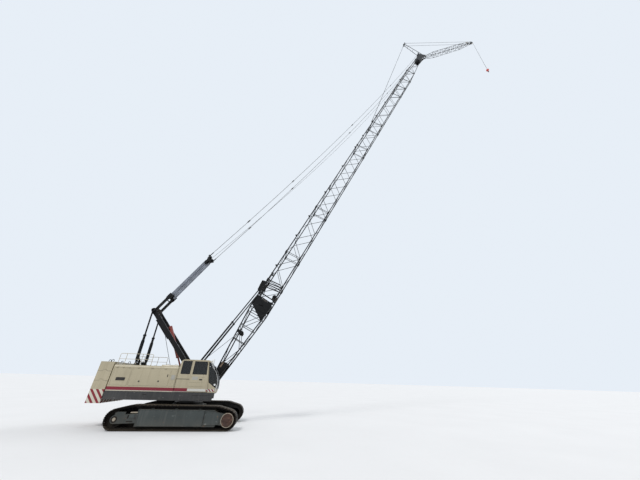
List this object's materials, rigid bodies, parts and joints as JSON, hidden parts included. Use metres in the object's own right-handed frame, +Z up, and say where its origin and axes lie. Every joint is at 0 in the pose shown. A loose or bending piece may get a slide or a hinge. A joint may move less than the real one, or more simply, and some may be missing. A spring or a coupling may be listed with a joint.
{
  "type": "half-scale model of a lattice boom crawler crane",
  "caption": "Crawler crane on two tracks with a swinging house, side cab, gantry, luffing lattice boom and fly jib with a ball hook, as a half-scale model.",
  "frame": {"origin": "on the ground, at the middle of the crane's bounding box", "axes": "+X the way the boom points, +Y the left side, +Z up"},
  "size_m": [25.2475, 2.65, 36.662],
  "materials": {
    "track_iron": "dull, worn and muddy",
    "frame_paint": "satin slate grey, dusty",
    "cover_paint": "satin slate grey, scuffed pale",
    "deck_paint": "satin dark grey",
    "house_paint": "satin cream with a dark red band",
    "weight_paint": "satin cream, diagonal red and white bars at the bottom",
    "boom_paint": "satin black",
    "rope_steel": "dark greased wire rope",
    "rod_steel": "grey steel",
    "sheave_iron": "dull, greased",
    "glass": "clear, slightly grey",
    "seat": "matt black",
    "rail_paint": "satin cream",
    "engine_grey": "dull grey",
    "ball_red": "gloss red, worn",
    "rusty": "rusty brown with a light rim"
  },
  "bodies": {
    "undercarriage": {"carbody": "frame_paint", "slew_ring": "track_iron", "side_frames": "frame_paint", "track_right": "track_iron", "track_left": "track_iron", "drive_wheels": "rusty", "idler_wheels": "track_iron", "track_rollers": "track_iron", "side_covers": "cover_paint"},
    "upper": {"revolving_frame": "deck_paint", "house": "house_paint", "engine": "engine_grey", "counterweight_lower": "weight_paint", "counterweight_middle": "weight_paint", "counterweight_upper": "weight_paint", "cab_shell": "house_paint", "cab_glass": "glass", "cab_seat": "seat", "hoist_drums": "sheave_iron", "handrails": "rail_paint"},
    "door": {"cab_door": "house_paint", "door_glass": "glass"},
    "gantry": {"gantry_frame": "boom_paint", "gantry_sheaves": "sheave_iron"},
    "leg_tubes": {"gantry_leg_tubes": "boom_paint"},
    "leg_rods": {"gantry_leg_rods": "boom_paint"},
    "lower_spreader": {"lower_spreader": "boom_paint"},
    "upper_spreader": {"upper_spreader": "boom_paint"},
    "boom": {"boom_base": "boom_paint", "boom_insert_1": "boom_paint", "boom_insert_2": "boom_paint", "boom_insert_3": "boom_paint", "boom_insert_4": "boom_paint", "boom_insert_5": "boom_paint", "boom_insert_6": "boom_paint", "boom_top": "boom_paint", "boom_sheaves": "sheave_iron", "tip_sheave": "sheave_iron", "base_winch": "sheave_iron", "jib": "boom_paint", "jib_strut": "boom_paint", "pendants": "rope_steel", "jib_front_stays": "rope_steel", "jib_back_stays": "rope_steel"},
    "stop_tubes": {"backstop_tubes": "boom_paint"},
    "stop_rods": {"backstop_rods": "rod_steel"},
    "hook_line": {"hoist_line": "rope_steel", "hook_ball": "ball_red", "hook": "rod_steel"}
  },
  "joints": [
    {"name": "swing", "type": "hinge", "parent": "undercarriage", "child": "upper", "pos_m": [-9.57377, 0, 0.688], "axis": [0, 0, 1], "continuous": true},
    {"name": "door_slide", "type": "slide", "parent": "upper", "child": "door", "axis": [-1, 0, 0], "range_m": [0, 0.34]},
    {"name": "boom_luff", "type": "hinge", "parent": "upper", "child": "boom", "pos_m": [-9.02377, 0, 0.95], "axis": [0, -1, 0], "range_deg": [-30, 15]},
    {"name": "gantry_fold", "type": "hinge", "parent": "upper", "child": "gantry", "pos_m": [-9.27377, 0, 1.2], "axis": [0, -1, 0], "range_deg": [0, 20]},
    {"name": "gantry_leg_turn", "type": "hinge", "parent": "upper", "child": "leg_tubes", "pos_m": [-11.58877, 0, 1.84], "axis": [0, -1, 0], "range_deg": [0, 35.14]},
    {"name": "gantry_leg_slide", "type": "slide", "parent": "leg_tubes", "child": "leg_rods", "axis": [-0.0182, 0, 0.9998], "range_m": [-0.7129, 0.0001]},
    {"name": "lower_spreader_turn", "type": "hinge", "parent": "gantry", "child": "lower_spreader", "pos_m": [-11.62377, 0, 3.76], "axis": [0, -1, 0], "range_deg": [-34.08, 17.04]},
    {"name": "upper_spreader_reach", "type": "slide", "parent": "lower_spreader", "child": "upper_spreader", "axis": [0.5175, 0, 0.8557], "range_m": [-0.9409, 1.8817]},
    {"name": "backstop_turn", "type": "hinge", "parent": "upper", "child": "stop_tubes", "pos_m": [-9.89377, 0, 1.25], "axis": [0, -1, 0], "range_deg": [-28.02, 14.01]},
    {"name": "backstop_slide", "type": "slide", "parent": "stop_tubes", "child": "stop_rods", "axis": [0.5133, 0, 0.8582], "range_m": [-0.2268, 0.4535]},
    {"name": "hook_hang", "type": "hinge", "parent": "boom", "child": "hook_line", "pos_m": [12.34537, 0, 36.51196], "axis": [0, -1, 0], "range_deg": [-15.02, 30.03]}
  ],
  "couplings": [
    {"joint": "gantry_leg_turn", "follows": "gantry_fold", "ratio": 1.755},
    {"joint": "gantry_leg_slide", "follows": "gantry_fold", "m_per_rad": -2.04},
    {"joint": "lower_spreader_turn", "follows": "boom_luff", "ratio": 1.135},
    {"joint": "upper_spreader_reach", "follows": "boom_luff", "m_per_rad": -3.59},
    {"joint": "backstop_turn", "follows": "boom_luff", "ratio": 0.933},
    {"joint": "backstop_slide", "follows": "boom_luff", "m_per_rad": -0.865},
    {"joint": "hook_hang", "follows": "boom_luff", "ratio": -1}
  ]
}
